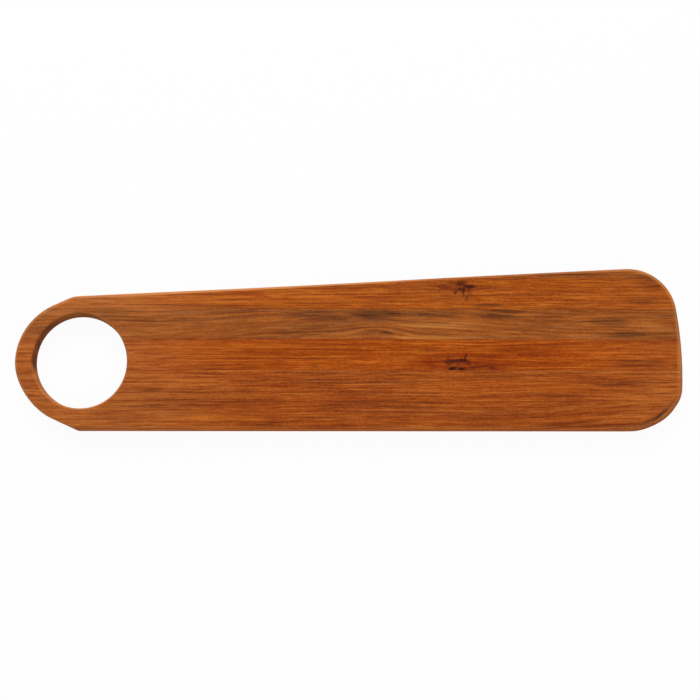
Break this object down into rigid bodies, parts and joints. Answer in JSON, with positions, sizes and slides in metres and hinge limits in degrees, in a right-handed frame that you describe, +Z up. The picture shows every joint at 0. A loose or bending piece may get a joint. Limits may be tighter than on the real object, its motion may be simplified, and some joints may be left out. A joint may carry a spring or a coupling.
{
  "type": "paddle charcuterie board",
  "caption": "Long tapered paddle board for serving, edge glued from hardwood staves, with a bowed wide end, eased edges and a round hand hole through its handle.",
  "frame": {"origin": "centre of the board's bounding box, on its underside", "axes": "+X from the handle to the wide end, +Y from the straight edge to the tapered edge, +Z up out of the serving face"},
  "size_m": [0.7, 0.1719, 0.02],
  "materials": {
    "straight_edge_wood": "satin oil, lengthwise grain",
    "second_stave_wood": "satin oil, lengthwise grain",
    "third_stave_wood": "satin oil, lengthwise grain",
    "smoky_stave_wood": "satin oil, lengthwise grain",
    "fifth_stave_wood": "satin oil, lengthwise grain",
    "wedge_stave_wood": "satin oil, lengthwise grain",
    "glue": "cured wood glue"
  },
  "bodies": {
    "root": {"straight_edge_stave": "straight_edge_wood", "second_stave": "second_stave_wood", "second_stave_handle_tip": "second_stave_wood", "third_stave": "third_stave_wood", "third_stave_handle_tip": "third_stave_wood", "fourth_stave": "smoky_stave_wood", "fifth_stave": "fifth_stave_wood", "taper_wedge_stave": "wedge_stave_wood", "first_glue_line": "glue", "first_glue_line_handle_tip": "glue", "second_glue_line": "glue", "second_glue_line_handle_tip": "glue", "third_glue_line": "glue", "third_glue_line_handle_tip": "glue", "fourth_glue_line": "glue", "wedge_glue_line": "glue"}
  },
  "joints": []
}
